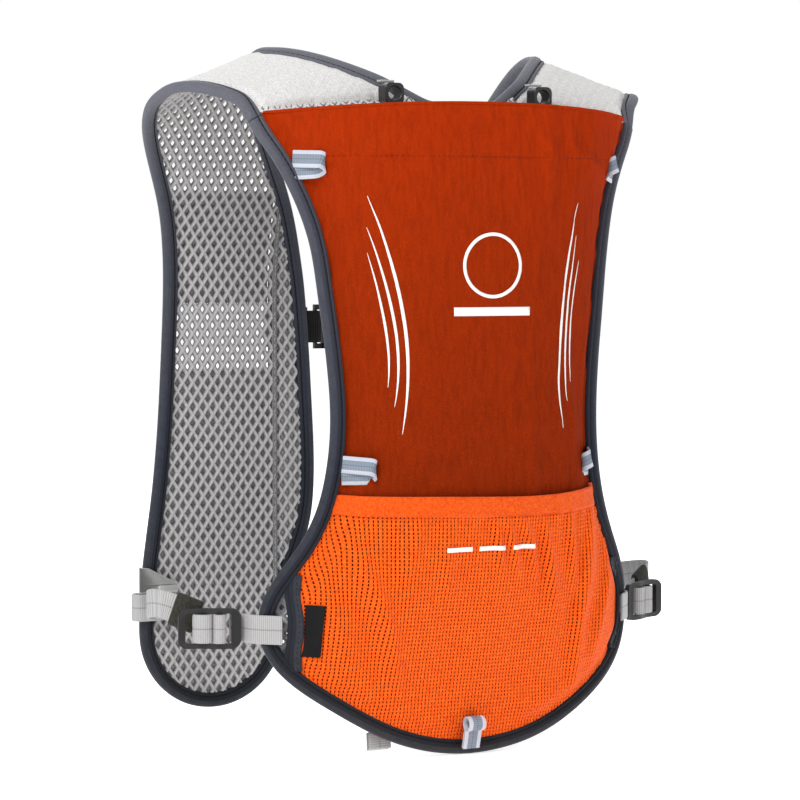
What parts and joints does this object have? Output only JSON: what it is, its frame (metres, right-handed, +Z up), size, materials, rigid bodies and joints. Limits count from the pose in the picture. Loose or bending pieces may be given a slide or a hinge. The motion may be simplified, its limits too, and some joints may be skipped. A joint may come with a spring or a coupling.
{
  "type": "hydration pack",
  "caption": "Vest-style running hydration pack: curved mesh back panel, open-top main pocket, stretch mesh pocket, two front straps with chest strap, and side straps with ladder locks.",
  "frame": {"origin": "bottom centre of the whole pack's box", "axes": "+Z up; +Y towards the wearer's front, from the pocket side to the front straps; +X to the right of someone looking at the pocket side"},
  "size_m": [0.3048, 0.1858, 0.3744],
  "materials": {
    "orange_fabric": "woven nylon, slightly crinkled",
    "orange_mesh": "perforated stretch mesh",
    "sleeve_fabric": "thin woven lining",
    "grey_spacer_mesh": "open diamond spacer mesh",
    "navy_binding": "folded bias tape, one row of stitches",
    "reflective_webbing": "narrow webbing with a reflective centre stripe",
    "grey_webbing": "ribbed polyester webbing",
    "keeper_elastic": "ribbed elastic",
    "black_plastic": "moulded acetal",
    "black_label": "plain woven label",
    "black_webbing": "ribbed webbing",
    "grey_pocket_fabric": "stretch mesh"
  },
  "bodies": {
    "pack": {"back_panel": "grey_spacer_mesh", "back_panel_binding": "navy_binding", "hem_tab": "grey_webbing", "hose_clip_left": "black_plastic", "hose_clip_right": "black_plastic", "hose_tab_left": "grey_webbing", "hose_tab_right": "grey_webbing", "lash_loop_bottom": "reflective_webbing", "lash_loop_lower_left": "reflective_webbing", "lash_loop_lower_right": "reflective_webbing", "lash_loop_upper_left": "reflective_webbing", "lash_loop_upper_right": "reflective_webbing", "main_pocket_face": "orange_fabric", "mesh_pocket": "orange_mesh", "mesh_pocket_elastic": "orange_mesh", "neck_binding": "navy_binding", "reservoir_sleeve": "sleeve_fabric", "side_label": "black_label", "side_webbing_left": "grey_webbing", "side_webbing_right": "grey_webbing", "wing_tape_left": "navy_binding", "wing_tape_right": "navy_binding", "wing_webbing_left": "grey_webbing", "wing_webbing_right": "grey_webbing", "yoke_binding_left": "navy_binding", "yoke_binding_right": "navy_binding", "yoke_left": "grey_spacer_mesh", "yoke_right": "grey_spacer_mesh"},
    "sternum_left": {"buckle_female": "black_plastic", "sternum_elastic_left": "black_webbing", "sternum_slider_left": "black_plastic"},
    "sternum_right": {"buckle_male": "black_plastic", "sternum_slider_right": "black_plastic", "sternum_webbing_right": "black_webbing"},
    "prong_lower": {"buckle_prong_lower": "black_plastic"},
    "prong_upper": {"buckle_prong_upper": "black_plastic"},
    "strap_left": {"flask_pocket_elastic_left": "navy_binding", "flask_pocket_left": "grey_pocket_fabric", "sternum_rail_left": "black_webbing", "strap_anchor_left": "grey_webbing", "strap_binding_left": "navy_binding", "strap_panel_left": "grey_spacer_mesh", "strap_tab_left": "grey_webbing", "upper_pocket_left": "grey_pocket_fabric"},
    "strap_right": {"flask_pocket_elastic_right": "navy_binding", "flask_pocket_right": "grey_pocket_fabric", "sternum_rail_right": "black_webbing", "strap_anchor_right": "grey_webbing", "strap_binding_right": "navy_binding", "strap_panel_right": "grey_spacer_mesh", "strap_tab_right": "grey_webbing", "upper_pocket_right": "grey_pocket_fabric"},
    "keeper_left": {"keeper_left": "keeper_elastic"},
    "keeper_right": {"keeper_right": "keeper_elastic"},
    "ladderlock_left": {"ladderlock_left": "black_plastic", "ladderlock_wrap_left": "grey_webbing"},
    "ladderlock_right": {"ladderlock_right": "black_plastic", "ladderlock_wrap_right": "grey_webbing"}
  },
  "joints": [
    {"name": "strap_left_swing", "type": "hinge", "parent": "pack", "child": "strap_left", "pos_m": [-0.1, 0.0156, 0.372], "axis": [1, 0, 0], "range_deg": [0, 10]},
    {"name": "strap_right_swing", "type": "hinge", "parent": "pack", "child": "strap_right", "pos_m": [0.1, 0.0156, 0.372], "axis": [1, 0, 0], "range_deg": [0, 10]},
    {"name": "sternum_left_height", "type": "slide", "parent": "strap_left", "child": "sternum_left", "axis": [0, 0, 1], "range_m": [-0.02, 0.015]},
    {"name": "sternum_right_height", "type": "slide", "parent": "strap_right", "child": "sternum_right", "axis": [0, 0, 1], "range_m": [-0.02, 0.015]},
    {"name": "buckle_prong_upper_squeeze", "type": "hinge", "parent": "sternum_right", "child": "prong_upper", "pos_m": [0.0082, 0.0866, 0.2278], "axis": [0, -1, 0], "range_deg": [0, 7]},
    {"name": "buckle_prong_lower_squeeze", "type": "hinge", "parent": "sternum_right", "child": "prong_lower", "pos_m": [0.0082, 0.0866, 0.2162], "axis": [0, 1, 0], "range_deg": [0, 7]},
    {"name": "ladderlock_left_tilt", "type": "hinge", "parent": "pack", "child": "ladderlock_left", "pos_m": [-0.1197, -0.0292, 0.0695], "axis": [0, 0, 1], "range_deg": [0, 30]},
    {"name": "ladderlock_right_tilt", "type": "hinge", "parent": "pack", "child": "ladderlock_right", "pos_m": [0.1197, -0.0292, 0.0695], "axis": [0, 0, -1], "range_deg": [0, 30]},
    {"name": "keeper_left_slide", "type": "slide", "parent": "pack", "child": "keeper_left", "axis": [-0.7971, 0.4764, 0.371], "range_m": [-0.003, 0.002]},
    {"name": "keeper_right_slide", "type": "slide", "parent": "pack", "child": "keeper_right", "axis": [0.7971, 0.4764, 0.371], "range_m": [-0.003, 0.002]}
  ],
  "couplings": [
    {"joint": "strap_right_swing", "follows": "strap_left_swing", "ratio": 1},
    {"joint": "sternum_right_height", "follows": "sternum_left_height", "ratio": 1},
    {"joint": "buckle_prong_lower_squeeze", "follows": "buckle_prong_upper_squeeze", "ratio": 1}
  ]
}
